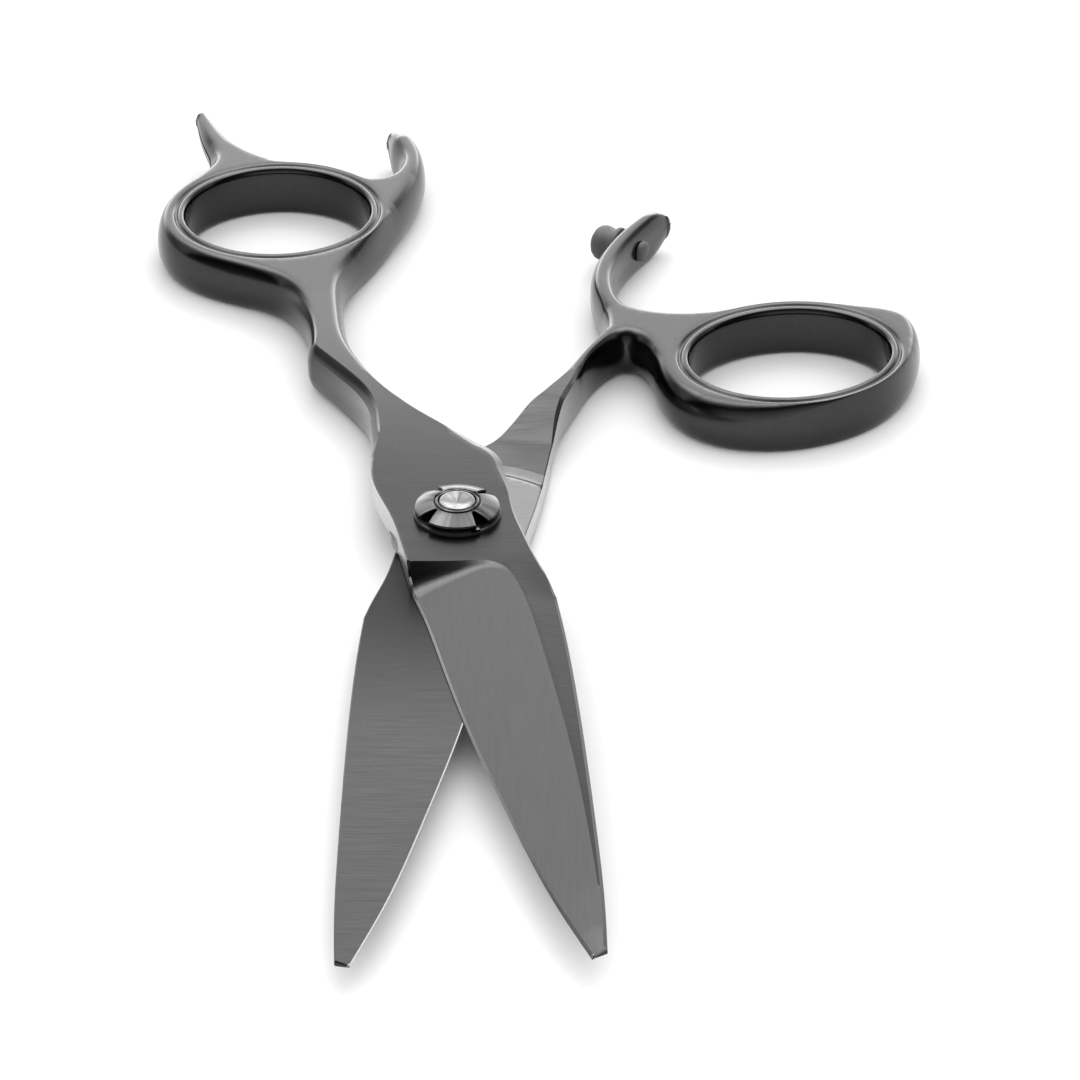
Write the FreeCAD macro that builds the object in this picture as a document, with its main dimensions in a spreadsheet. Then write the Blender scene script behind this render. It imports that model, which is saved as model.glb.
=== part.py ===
import FreeCAD, Part
import math
import os
import Sketcher
from FreeCAD import Placement, Rotation, Vector

# Hair cutting shears: two halves that cross at a pivot, lying flat.
# The pivot axis is Z through the origin, +Y runs from the pivot to the finger rings,
# -Y to the blade tips, and z = 0 is the face that the shears lie on.
# Each half is drawn closed, with its blade along -Y, and is then turned open about Z.

DIMENSIONS = [
    ("finger_turn", 10.96, "finger half, turned open from closed, degrees"),
    ("thumb_turn", -7.07, "thumb half, turned open from closed, degrees"),
    ("stud_proud", 0.5, "stud head below the thumb half"),
    ("plate_thick", 2.45, "each half at the pivot"),
    ("halves_gap", 0.1, "between the two inner faces"),
    ("ring_height", 5.3, "thumb ring and shank, top to bottom"),
    ("finger_height", 5.5, "finger ring and shank, top to bottom"),
    ("ramp_start", 18.4, "distance from the pivot where a half starts to thicken"),
    ("ramp_end", 22.6, "distance from the pivot where a half is full height"),
    ("finger_hole_r", 9.7, "finger ring, inside radius"),
    ("thumb_hole_long", 10.2, "thumb ring, long inside half width"),
    ("thumb_hole_short", 8.6, "thumb ring, short inside half width"),
    ("rest_root", 3.8, "finger rest, height where it leaves the ring"),
    ("rest_tip", 1.9, "finger rest, height at its tip"),
    ("stud_dia", 5.0, "pivot stud shank"),
    ("stud_head_dia", 9.0, "pivot stud head"),
    ("stud_top_dia", 3.5, "stud end seen inside the dial"),
    ("running_clearance", 0.03, "stud to bush and stud end to dial, on the radius"),
    ("slip", 0.02, "between faces that slide on each other"),
    ("bush_dia", 6.6, "pivot bush outside"),
    ("ride_dia", 12.4, "ride washer outside"),
    ("ride_thick", 0.6, "ride washer thickness"),
    ("thrust_dia", 8.1, "thrust washer outside"),
    ("thrust_thick", 0.3, "thrust washer thickness"),
    ("click_dia", 7.5, "click plate outside"),
    ("click_thick", 0.22, "click plate thickness"),
    ("dial_dia", 7.9, "tension dial outside"),
    ("dial_rim", 0.35, "tension dial, height of the rim"),
    ("dial_height", 1.0, "tension dial, height at the middle"),
    ("notch_width", 1.44, "tension dial, notch width at the rim"),
    ("spring_dia", 5.8, "click spring outside"),
    ("spring_bore", 4.0, "click spring inside"),
    ("spring_thick", 0.18, "click spring thickness"),
    ("bumper_dia", 4.0, "bumper head"),
    ("bumper_reach", 3.2, "bumper head, out from the spur"),
    ("bumper_stem_dia", 1.9, "bumper stem through the spur"),
]

doc = FreeCAD.newDocument("shears")
sheet = doc.addObject("Spreadsheet::Sheet", "Sizes")
size = {}
for row, (alias, value, meaning) in enumerate(DIMENSIONS, start=1):
    sheet.set(f"A{row}", meaning)
    sheet.set(f"B{row}", str(value))
    sheet.setAlias(f"B{row}", alias)
    size[alias] = value
doc.recompute()

# Heights above the face that the shears lie on, as numbers and as the sheet's expressions.
THUMB_LOW = size["stud_proud"]
THUMB_INNER = THUMB_LOW + size["plate_thick"]
FINGER_INNER = THUMB_INNER + size["halves_gap"]
FINGER_TOP = FINGER_INNER + size["plate_thick"]
DIAL_LOW = FINGER_TOP + size["thrust_thick"] + size["click_thick"]
THUMB_INNER_AT = "Sizes.stud_proud + Sizes.plate_thick"
FINGER_TOP_AT = "Sizes.stud_proud + 2 * Sizes.plate_thick + Sizes.halves_gap"
CLICK_AT = FINGER_TOP_AT + " + Sizes.thrust_thick"
DIAL_AT = CLICK_AT + " + Sizes.click_thick"
FAR = 30.0                   # beyond any part of the section that it cuts


# ---------------------------------------------------------------- outlines
# Plan outlines, closed position. A run of two points is a straight edge, a run of
# more is a smooth curve through them, and the last point of a run starts the next.

FINGER_OUTLINE = [
    [(-5.9, -8.0), (5.5, -8.0)],
    [(5.5, -8.0), (5.25, -4.0), (5.25, 0.0), (5.55, 4.0), (5.75, 8.0)],
    [(5.75, 8.0), (5.35, 10.9), (4.2, 12.7)],
    [(4.2, 12.7), (1.4, 17.1), (-1.6, 22.4), (-3.7, 29.0), (-4.5, 36.5), (-4.1, 43.0),
     (-2.9, 49.8), (0.5, 56.1), (4.1, 61.9), (7.6, 68.5), (9.4, 74.0), (9.5, 79.3),
     (8.2, 83.3)],
    [(8.2, 83.3), (7.3, 84.0), (6.7, 82.9)],
    [(6.7, 82.9), (6.6, 79.2), (6.9, 76.2), (6.0, 73.0), (3.7, 71.2), (1.4, 72.5),
     (-1.6, 75.1), (-4.8, 76.6), (-8.0, 79.4), (-10.2, 83.0), (-12.3, 89.5)],
    [(-12.3, 89.5), (-13.1, 90.2), (-13.6, 89.2)],
    [(-13.6, 89.2), (-13.5, 83.6), (-13.4, 78.6), (-15.6, 75.1), (-18.7, 71.2),
     (-20.5, 66.3), (-20.2, 60.9), (-17.6, 56.5), (-13.4, 52.8), (-10.0, 49.3),
     (-8.5, 44.2), (-8.4, 38.6), (-9.1, 34.6)],
    [(-9.1, 34.6), (-7.0, 29.7), (-5.2, 24.2), (-5.2, 18.6), (-6.6, 9.4)],
    [(-6.6, 9.4), (-6.7, 8.0), (-6.1, 1.5), (-5.9, -3.0), (-5.9, -8.0)],
]
FINGER_HOLE = (-7.9, 64.7)

THUMB_OUTLINE = [
    [(-5.5, -8.0), (5.9, -8.0)],
    [(5.9, -8.0), (5.9, -3.0), (6.4, 5.0), (6.65, 13.0), (6.8, 20.5), (8.2, 29.2),
     (10.0, 35.6), (11.9, 37.4), (13.6, 35.8), (14.9, 31.7), (17.6, 26.4),
     (21.2, 23.8), (26.0, 23.2), (31.6, 24.9), (36.4, 28.5), (39.9, 34.0),
     (41.0, 39.8), (39.5, 45.3), (34.0, 46.8), (25.6, 45.9), (15.6, 42.9),
     (11.4, 44.0), (9.5, 48.0), (9.4, 53.6), (11.1, 60.0), (13.2, 65.2)],
    [(13.2, 65.2), (12.9, 66.6), (11.9, 65.9)],
    [(11.9, 65.9), (9.2, 61.0), (7.1, 54.6), (6.8, 49.2), (8.1, 43.8), (9.0, 39.0),
     (8.1, 34.3), (5.9, 27.2), (3.0, 21.2), (0.3, 17.2)],
    [(0.3, 17.2), (-4.3, 11.0)],
    [(-4.3, 11.0), (-5.3, 9.2), (-5.6, 7.0)],
    [(-5.6, 7.0), (-5.5, -8.0)],
]
THUMB_HOLE = (28.25, 35.2)
THUMB_HOLE_TILT = 30.0

# Blade stations: distance from the pivot towards the tip, then the reach of the cutting
# edge and of the spine from the blade's middle line, and the thickness at the spine.
BLADE_STATIONS = [
    (7.0, 5.85, 5.45, 2.1),
    (14.8, 5.35, 6.45, 2.0),
    (30.0, 4.75, 5.2, 1.75),
    (45.0, 3.5, 3.45, 1.45),
    (57.0, 2.15, 1.85, 1.15),
    (65.0, 0.65, 0.7, 0.85),
]
CROWN = 0.3                  # the outer face stands this much above the spine's height
CROWN_PLACE = 0.28           # its distance from the spine, as a share of the blade's width
HONED = 0.12                 # thickness of the steel at the cutting edge
# The finger rest lies left of REST_SIDE; it thins from REST_START to REST_ROOT to REST_END.
REST_SIDE = -7.0
REST_START = 78.0
REST_ROOT = 81.5
REST_END = 91.0
LIFT_START = 13.5            # the thumb half's plate is clear of the surface up to here
LIFT_END = 17.5
EAR_ANGLE = -64.0            # direction of the click plate's ear, degrees
NOTCH_ANGLE = 38.0           # direction of the dial's first notch, degrees
NOTCH_TIP = 2.35             # distance of a notch's tip from the axis
SPUR_THICK = 2.35
BUMPER_AXIS = Vector(-0.94, 0.342, 0).normalize()
BUMPER_SEAT = Vector(8.75, 60.2, size["ring_height"] / 2 + 0.2)


# ---------------------------------------------------------------- helpers
def origin_plane(body, role):
    return [plane for plane in body.Origin.OriginFeatures if plane.Role == role][0]


def new_body(label):
    body = doc.addObject("PartDesign::Body", label + "_body")
    body.Label = label
    return body


def new_sketch(body, name, role, offset=0.0):
    sketch = body.newObject("Sketcher::SketchObject", name)
    sketch.AttachmentSupport = (origin_plane(body, role), "")
    sketch.MapMode = "FlatFace"
    sketch.AttachmentOffset = Placement(Vector(0, 0, offset), Rotation())
    return sketch


def add_run(sketch, points):
    """One run of an outline: a straight edge or a smooth curve through its points."""
    vectors = [Vector(x, y, 0) for x, y in points]
    if len(vectors) == 2:
        sketch.addGeometry(Part.LineSegment(vectors[0], vectors[1]), False)
    elif len(vectors) == 3:
        sketch.addGeometry(Part.Arc(*vectors), False)
    else:
        curve = Part.BSplineCurve()
        curve.interpolate(vectors)
        sketch.addGeometry(curve, False)


def add_polygon(sketch, points):
    for start, end in zip(points, points[1:] + points[:1]):
        add_run(sketch, [start, end])


def add_circle(sketch, radius, centre=(0.0, 0.0), alias=None):
    index = sketch.addGeometry(Part.Circle(Vector(*centre, 0), Vector(0, 0, 1), radius), False)
    if alias:
        constraint = sketch.addConstraint(Sketcher.Constraint("Radius", index, radius))
        sketch.setExpression(f"Constraints[{constraint}]", alias)
    return index


def pad(body, sketch, length, name="Pad"):
    feature = body.newObject("PartDesign::Pad", name)
    feature.Profile = sketch
    if isinstance(length, str):
        feature.setExpression("Length", length)
    else:
        feature.Length = length
    return feature


def pocket_both_ways(body, sketch, name):
    """A cut through everything on both sides of the sketch's plane."""
    feature = body.newObject("PartDesign::Pocket", name)
    feature.Profile = sketch
    feature.Type = "ThroughAll"
    feature.Midplane = True
    return feature


def cylinder(name, diameter, height, base=Vector(0, 0, 0), axis=Vector(0, 0, 1), low=None):
    """A cylinder whose diameter, height and lowest level are expressions of the sheet."""
    solid = doc.addObject("Part::Cylinder", name)
    solid.setExpression("Radius", f"({diameter}) / 2")
    solid.setExpression("Height", height)
    solid.Placement = Placement(base, Rotation(Vector(0, 0, 1), axis))
    if low:
        solid.setExpression("Placement.Base.z", f"({low}) * 1mm")
    return solid


def cut(label, base, tools):
    """Cuts the tools from the base one after another; the last cut carries the label."""
    result = base
    for number, tool in enumerate(tools):
        step = doc.addObject("Part::Cut", f"{label}_cut{number}")
        step.Base = result
        step.Tool = tool
        result = step
    base.Label = label + "_blank"
    result.Label = label
    return result


def turn_open(feature, alias):
    """Turns a part that is drawn closed to its place at rest."""
    feature.Placement = Placement(Vector(0, 0, 0), Rotation(Vector(0, 0, 1), size[alias]))
    feature.setExpression("Placement.Rotation.Angle", f"Sizes.{alias} * 1deg")
    return feature


def blade_section(station, side, inner, outward):
    """The blade's section: flat inner face, crowned outer face, edge on the given side."""
    distance, edge, spine, thick = station
    crown_at = -side * (spine - CROWN_PLACE * (spine + edge))
    return [
        (side * edge, inner),
        (side * (edge - HONED), inner + outward * HONED),
        (crown_at, inner + outward * (thick + CROWN)),
        (-side * spine, inner + outward * thick),
        (-side * spine, inner),
    ]


def add_blade(body, side, inner, outward):
    sections = []
    for number, station in enumerate(BLADE_STATIONS):
        sketch = new_sketch(body, f"{body.Name}_blade{number}", "XZ_Plane", station[0])
        add_polygon(sketch, blade_section(station, side, inner, outward))
        sections.append(sketch)
    loft = body.newObject("PartDesign::AdditiveLoft", body.Name + "_blade")
    loft.Profile = sections[0]
    loft.Sections = sections[1:]
    loft.Ruled = True
    return loft


# ---------------------------------------------------------------- the two halves
def slim_finger_rest(body):
    """Tapers the finger rest from below, from its root on the ring to its tip."""
    top = size["finger_height"]
    side = new_sketch(body, "rest_underside", "YZ_Plane", REST_SIDE)
    add_polygon(side, [
        (REST_START, -0.5), (REST_START, 0.0), (REST_ROOT, top - size["rest_root"]),
        (REST_END, top - size["rest_tip"]), (REST_END, -0.5)])
    doc.recompute()
    before = body.Shape.Volume
    feature = body.newObject("PartDesign::Pocket", "rest_taper")
    feature.Profile = side
    feature.Length = FAR
    feature.Reversed = True
    doc.recompute()
    if body.Shape.Volume >= before:
        feature.Reversed = False
        doc.recompute()
    if body.Shape.Volume >= before:
        raise RuntimeError("the finger rest's taper cuts nothing")


def finger_half():
    """Upper half: blade, plate, shank, finger ring, spur and finger rest in one piece."""
    body = new_body("finger_half")
    plan = new_sketch(body, "finger_plan", "XY_Plane")
    for run in FINGER_OUTLINE:
        add_run(plan, run)
    add_circle(plan, size["finger_hole_r"], FINGER_HOLE, "Sizes.finger_hole_r")
    pad(body, plan, "Sizes.finger_height", "finger_pad")
    below = new_sketch(body, "finger_underside", "YZ_Plane")
    add_polygon(below, [
        (-FAR, -1.0), (-FAR, FINGER_INNER), (size["ramp_start"], FINGER_INNER),
        (size["ramp_end"] + 3.0, 0.0), (size["ramp_end"] + 3.0, -1.0)])
    pocket_both_ways(body, below, "finger_relief")
    slim_finger_rest(body)
    add_blade(body, -1, FINGER_INNER, 1)
    doc.recompute()
    bush_bore = cylinder("finger_bush_bore", "Sizes.bush_dia", "10 mm")
    washer_seat = cylinder(
        "finger_washer_seat", "Sizes.ride_dia + 0.1",
        "Sizes.stud_proud + Sizes.plate_thick + Sizes.ride_thick")
    return turn_open(cut("finger_half", body, [bush_bore, washer_seat]), "finger_turn")


def thumb_half():
    """Lower half: blade, plate, shank, thumb ring and the spur that holds the bumper."""
    body = new_body("thumb_half")
    plan = new_sketch(body, "thumb_plan", "XY_Plane")
    for run in THUMB_OUTLINE:
        add_run(plan, run)
    tilt = math.radians(THUMB_HOLE_TILT)
    centre = Vector(*THUMB_HOLE, 0)
    along = Vector(math.cos(tilt), math.sin(tilt), 0)
    across = Vector(-math.sin(tilt), math.cos(tilt), 0)
    hole = Part.Ellipse(
        centre + along * size["thumb_hole_long"],
        centre + across * size["thumb_hole_short"], centre)
    plan.addGeometry(hole, False)
    pad(body, plan, "Sizes.ring_height", "thumb_pad")
    above = new_sketch(body, "thumb_topside", "YZ_Plane")
    add_polygon(above, [
        (-FAR, 8.0), (-FAR, THUMB_INNER), (size["ramp_start"], THUMB_INNER),
        (size["ramp_end"], size["ring_height"]), (size["ramp_end"], 8.0)])
    pocket_both_ways(body, above, "thumb_relief")
    below = new_sketch(body, "thumb_underside", "YZ_Plane")
    add_polygon(below, [
        (-FAR, -1.0), (-FAR, THUMB_LOW), (LIFT_START, THUMB_LOW), (LIFT_END, -1.0)])
    pocket_both_ways(body, below, "thumb_lift")
    add_blade(body, 1, THUMB_INNER, -1)
    doc.recompute()
    stud_bore = cylinder("thumb_stud_bore", "Sizes.stud_dia", "10 mm")
    stem_bore = cylinder(
        "thumb_stem_bore", "Sizes.bumper_stem_dia", "8 mm",
        BUMPER_SEAT - BUMPER_AXIS * 6.0, BUMPER_AXIS)
    return turn_open(cut("thumb_half", body, [stud_bore, stem_bore]), "thumb_turn")


# ---------------------------------------------------------------- pivot parts
def turned_part(label, profile):
    """A part turned about Z, from its half profile as (radius, height) points."""
    body = new_body(label)
    sketch = new_sketch(body, label + "_profile", "XZ_Plane")
    add_polygon(sketch, profile)
    turning = body.newObject("PartDesign::Revolution", label + "_turning")
    turning.Profile = sketch
    turning.ReferenceAxis = (sketch, ["V_Axis"])
    turning.Angle = 360
    return body


def pivot_stud():
    """Flat head under the thumb half, shank through both halves, turned end in the dial."""
    shank = size["stud_dia"] / 2
    head = size["stud_head_dia"] / 2
    end = size["stud_top_dia"] / 2
    dial_top = DIAL_LOW + size["dial_height"]
    return turned_part("pivot_stud", [
        (0, 0), (head - 0.2, 0), (head, 0.2), (head, THUMB_LOW), (shank, THUMB_LOW),
        (shank, DIAL_LOW), (end, DIAL_LOW), (end, dial_top - 0.1),
        (end - 0.5, dial_top + 0.02), (0, dial_top - 0.08)])


def ring_part(label, inner, outer, low, height, tools=()):
    """A flat ring between two diameters; every argument is an expression of the sheet."""
    disc = cylinder(label + "_disc", outer, height, low=low)
    bore = cylinder(label + "_bore", inner, height, low=low)
    return cut(label, disc, [bore, *tools])


def click_plate():
    """Thin steel disc keyed on the stud, with one small ear past the dial's rim."""
    disc = cylinder("click_disc", "Sizes.click_dia", "Sizes.click_thick", low=CLICK_AT)
    ear = doc.addObject("Part::Box", "click_ear")
    ear.Length = 1.1
    ear.Width = 0.8
    ear.setExpression("Height", "Sizes.click_thick")
    ear.Placement = Placement(Vector(3.0, -0.4, 0), Rotation())
    ear.setExpression("Placement.Base.z", f"({CLICK_AT}) * 1mm")
    whole = doc.addObject("Part::Fuse", "click_disc_and_ear")
    whole.Base = disc
    whole.Tool = ear
    bore = cylinder("click_bore", "Sizes.stud_dia", "Sizes.click_thick", low=CLICK_AT)
    plate = cut("click_plate", whole, [bore])
    plate.Placement = Placement(Vector(0, 0, 0), Rotation(Vector(0, 0, 1), EAR_ANGLE))
    return plate


def tension_dial():
    """Domed nut with four notches for the fingernail or a key."""
    rim = DIAL_LOW + size["dial_rim"]
    top = DIAL_LOW + size["dial_height"]
    outer = size["dial_dia"] / 2
    inner = size["stud_top_dia"] / 2 + size["running_clearance"]
    seat = size["spring_dia"] / 2 + 0.1
    roof = DIAL_LOW + size["spring_thick"] + size["slip"]
    body = turned_part("tension_dial", [
        (inner, roof), (seat, roof), (seat, DIAL_LOW), (outer, DIAL_LOW),
        (outer, rim), (outer - 0.15, rim + 0.12), (2.2, top - 0.05), (inner, top)])
    doc.recompute()
    notches = new_sketch(body, "dial_notch", "XY_Plane", top + 1.0)
    beyond = outer + 1.0
    half = size["notch_width"] / 2 * (beyond - NOTCH_TIP) / (outer - NOTCH_TIP)
    add_polygon(notches, [(NOTCH_TIP, 0.0), (beyond, -half), (beyond, half)])
    notch = body.newObject("PartDesign::Pocket", "dial_notch_cut")
    notch.Profile = notches
    notch.Type = "ThroughAll"
    doc.recompute()
    pattern = body.newObject("PartDesign::PolarPattern", "dial_notches")
    pattern.Originals = [notch]
    pattern.Axis = (notches, ["N_Axis"])
    pattern.Angle = 360
    pattern.Occurrences = 4
    body.Tip = pattern
    body.Placement = Placement(Vector(0, 0, 0), Rotation(Vector(0, 0, 1), NOTCH_ANGLE))
    return body


def click_spring():
    """Split spring disc in the dial's underside that clicks on the plate."""
    split = doc.addObject("Part::Box", "spring_split")
    split.Length = 3.0
    split.Width = 0.6
    split.Height = 2.0
    split.Placement = Placement(Vector(1.0, -0.3, FINGER_TOP), Rotation())
    return ring_part(
        "click_spring", "Sizes.spring_bore", "Sizes.spring_dia", DIAL_AT,
        "Sizes.spring_thick", [split])


def bumper():
    """Rubber stop: domed head against the spur, stem through it and a small barb behind."""
    head = size["bumper_dia"] / 2
    stem = size["bumper_stem_dia"] / 2
    reach = size["bumper_reach"]
    body = turned_part("bumper", [
        (0, -SPUR_THICK - 0.7), (stem * 0.75, -SPUR_THICK - 0.7), (stem, -SPUR_THICK),
        (stem, 0), (head * 0.85, 0), (head, 0.5), (head, reach - 0.9),
        (head * 0.8, reach - 0.3), (head * 0.4, reach - 0.04), (0, reach)])
    doc.recompute()
    body.Placement = Placement(
        Rotation(Vector(0, 0, 1), size["thumb_turn"]).multVec(BUMPER_SEAT),
        Rotation(Vector(0, 0, 1), size["thumb_turn"]).multiply(
            Rotation(Vector(0, 0, 1), BUMPER_AXIS)))
    return body


parts = [
    finger_half(),
    thumb_half(),
    pivot_stud(),
    ring_part(
        "pivot_bush", "Sizes.stud_dia + 2 * Sizes.running_clearance", "Sizes.bush_dia",
        THUMB_INNER_AT + " + Sizes.ride_thick",
        "Sizes.plate_thick + Sizes.halves_gap - Sizes.ride_thick"),
    ring_part(
        "ride_washer", "Sizes.stud_dia + 0.2", "Sizes.ride_dia",
        THUMB_INNER_AT + " + Sizes.slip", "Sizes.ride_thick - Sizes.slip"),
    ring_part(
        "thrust_washer", "Sizes.stud_dia + 0.2", "Sizes.thrust_dia",
        FINGER_TOP_AT, "Sizes.thrust_thick - Sizes.slip"),
    click_plate(),
    click_spring(),
    tension_dial(),
    bumper(),
]
doc.recompute()

for item in doc.Objects:
    if "Invalid" in item.State or "Error" in item.State:
        raise RuntimeError(f"{item.Name} failed: {item.State}")
os.makedirs("parts", exist_ok=True)
for part in parts:
    shape = part.Shape
    if shape.isNull() or not shape.isValid() or shape.Volume <= 0:
        raise RuntimeError(f"{part.Label} has no valid solid")
    shape.exportStep(f"parts/{part.Label}.step")
    box = shape.BoundBox
    print(f"{part.Label}: {len(shape.Solids)} solid, {shape.Volume:.1f} mm3, "
          f"x {box.XMin:.2f}..{box.XMax:.2f} y {box.YMin:.2f}..{box.YMax:.2f} "
          f"z {box.ZMin:.2f}..{box.ZMax:.2f}")
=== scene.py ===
import math

import bmesh
import bpy
import numpy as np
from mathutils import Matrix, Vector, geometry


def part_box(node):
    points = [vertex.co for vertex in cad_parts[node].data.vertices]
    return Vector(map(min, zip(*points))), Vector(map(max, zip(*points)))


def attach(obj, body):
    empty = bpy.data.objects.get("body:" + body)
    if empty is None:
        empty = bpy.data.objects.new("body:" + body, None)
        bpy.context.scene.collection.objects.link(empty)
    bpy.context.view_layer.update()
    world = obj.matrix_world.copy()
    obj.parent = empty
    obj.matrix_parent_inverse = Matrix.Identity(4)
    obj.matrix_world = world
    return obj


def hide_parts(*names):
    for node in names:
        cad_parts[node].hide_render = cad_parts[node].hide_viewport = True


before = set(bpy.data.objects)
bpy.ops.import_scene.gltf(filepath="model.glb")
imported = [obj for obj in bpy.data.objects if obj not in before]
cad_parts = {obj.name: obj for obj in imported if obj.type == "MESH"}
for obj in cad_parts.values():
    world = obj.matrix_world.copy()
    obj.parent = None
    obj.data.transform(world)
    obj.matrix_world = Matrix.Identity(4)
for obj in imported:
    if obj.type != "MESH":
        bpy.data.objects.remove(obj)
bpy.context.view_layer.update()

# Lengths below are millimetres, and MM turns them into Blender's metres. Each half of the
# shears is drawn closed, blade along -Y and pivot at the origin, and is then turned open.
MM = 0.001
FINGER_TURN = 10.96
THUMB_TURN = -7.07
PLATE = 2.45                 # thickness of each half at the pivot
HALVES_GAP = 0.1             # between the two inner faces
FINGER_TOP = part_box("finger_half")[1].z / MM
FINGER_INNER = FINGER_TOP - PLATE
THUMB_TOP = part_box("thumb_half")[1].z / MM
THUMB_INNER = FINGER_INNER - HALVES_GAP
STEP = 0.3                   # spacing of points along an outline
FINE_STEP = 0.1              # the same on small arcs
RINGS = 11                   # rows of faces round each edge
BEAD_GROOVE = 1.0            # distance of a rolled rim's groove from the ring's hole
BEAD_DEPTH = 0.3
BEAD_WIDTH = 0.26
RIM_ROWS = np.arange(0.58, 1.5, 0.07)    # distances from the hole of the rows over the rim
RIM_CLEAR = 0.12             # least flat between a rolled rim and the ring's outer edge
ROOM_USED = 0.82             # share of the room inside the outline that an edge may take
WALL_USED = 0.6              # share of the wall that a rounded edge may take
HOLE_TOP = (0.5, 0.8)        # inset and drop of the edge round a ring's hole, on top
HOLE_UNDER = (0.75, 1.0)     # the same underneath


# ---------------------------------------------------------------- outlines
# A run of two points is a straight edge, of three an arc, of more a smooth curve.
# The runs go round anticlockwise, and each starts where the one before it ends.
SPINE_LOWER = [(0.72, -64.5), (1.6, -59.3), (3.06, -48.5), (4.44, -37.0), (5.42, -27.9),
               (6.22, -18.4), (6.45, -14.5)]
SPINE_UPPER = [(6.45, -14.5), (6.17, -11.7), (5.67, -8.2), (5.42, -4.7)]
EDGE = [(-5.9, -8.2), (-5.42, -13.4), (-5.17, -20.1), (-4.61, -32.9), (-3.55, -45.0),
        (-2.21, -56.6), (-0.63, -65.0)]
HEEL = EDGE[0][1]            # where the cutting edge begins, along Y

FINGER_RUNS = [
    [EDGE[-1], SPINE_LOWER[0]],
    SPINE_LOWER,
    SPINE_UPPER + [(5.25, 0.0), (5.55, 4.0), (5.75, 8.0)],
    [(5.75, 8.0), (5.35, 10.9), (4.2, 12.7)],
    [(4.2, 12.7), (1.4, 17.1), (-1.6, 22.4), (-3.7, 29.0), (-4.5, 36.5), (-4.1, 43.0),
     (-2.9, 49.8), (0.5, 56.1), (4.1, 61.9), (7.6, 68.5), (9.4, 74.0), (9.5, 79.3),
     (8.2, 83.3)],
    [(8.2, 83.3), (7.3, 84.0), (6.7, 82.9)],
    [(6.7, 82.9), (6.6, 79.2), (6.9, 76.2), (6.0, 73.0), (3.7, 71.2), (1.4, 72.5),
     (-1.6, 75.1), (-4.8, 76.6), (-8.0, 79.4), (-10.2, 83.0), (-12.3, 89.5)],
    [(-12.3, 89.5), (-13.1, 90.2), (-13.6, 89.2)],
    [(-13.6, 89.2), (-13.5, 83.6), (-13.4, 78.6), (-15.6, 75.1), (-18.7, 71.2),
     (-20.5, 66.3), (-20.2, 60.9), (-17.6, 56.5), (-13.4, 52.8), (-10.0, 49.3),
     (-8.5, 44.2), (-8.4, 38.6), (-8.94, 35.49)],
    [(-8.94, 35.49), (-8.97, 34.62), (-8.74, 33.77)],
    [(-8.74, 33.77), (-7.0, 29.7), (-5.2, 24.2), (-5.2, 18.6), (-6.6, 9.4)],
    [(-6.6, 9.4), (-6.7, 8.0), (-6.1, 1.5), (-5.9, -3.0), EDGE[0]],
    EDGE,
]
THUMB_RUNS = [
    [(-0.72, -64.5), (0.63, -65.0)],
    [(-x, y) for x, y in reversed(EDGE)],
    [(5.9, -8.2), (5.9, -3.0), (6.4, 5.0), (6.65, 13.0), (6.8, 20.5), (8.2, 29.2),
     (9.9, 34.9), (11.9, 37.0), (13.9, 34.9), (15.1, 31.4), (17.6, 26.4),
     (21.2, 23.8), (26.0, 23.2), (31.6, 24.9), (36.4, 28.5), (39.9, 34.0),
     (41.0, 39.8), (39.5, 45.3), (34.0, 46.8), (25.6, 45.9), (15.6, 42.9),
     (11.4, 44.0), (9.5, 48.0), (9.4, 53.6), (11.1, 60.0), (13.2, 65.2)],
    [(13.2, 65.2), (12.9, 66.6), (11.9, 65.9)],
    [(11.9, 65.9), (9.2, 61.0), (7.1, 54.6), (6.8, 49.2), (8.1, 43.8), (9.0, 39.0),
     (8.1, 34.3), (5.9, 27.2), (3.0, 21.2), (0.3, 17.2)],
    [(0.3, 17.2), (-4.3, 11.0)],
    [(-4.3, 11.0), (-5.3, 9.2), (-5.6, 7.0)],
    [(-5.6, 7.0), (-5.42, 0.0)] + [(-x, y) for x, y in reversed(SPINE_UPPER)],
    [(-x, y) for x, y in reversed(SPINE_LOWER)],
]
FINGER_HOLE = ((-7.9, 64.7), 9.7, 9.7, 0.0)      # centre, half width, half height, tilt
THUMB_HOLE = ((28.25, 35.2), 10.2, 8.6, 30.0)
# Where the flat joint plate and the band along the spine end and the ground face begins,
# for the half whose cutting edge is at -X.
SHOULDER = [(-5.55, -7.25), (-3.0, -7.75), (-1.0, -8.05), (1.2, -8.4), (2.5, -9.5),
            (3.25, -12.0), (3.55, -16.0), (3.5, -24.0), (3.1, -37.0), (2.3, -48.5),
            (1.25, -59.0), (0.62, -64.0)]


def line(start, end, step):
    count = max(2, round(math.dist(start, end) / step) + 1)
    return np.linspace(start, end, count)


def arc(start, middle, end, step):
    """Points on the arc through three points."""
    a, b, c = (complex(*p) for p in (start, middle, end))
    w = (c - a) / (b - a)
    centre = (b - a) * (w - abs(w) ** 2) / (2j * w.imag) + a
    centre_to = [a - centre, b - centre, c - centre]
    turn = sum(np.angle(centre_to[i + 1] / centre_to[i]) for i in (0, 1))
    count = max(7, round(abs(turn * centre_to[0]) / step) + 1)
    found = centre + centre_to[0] * np.exp(1j * np.linspace(0, turn, count))
    return np.column_stack([found.real, found.imag])


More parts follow.
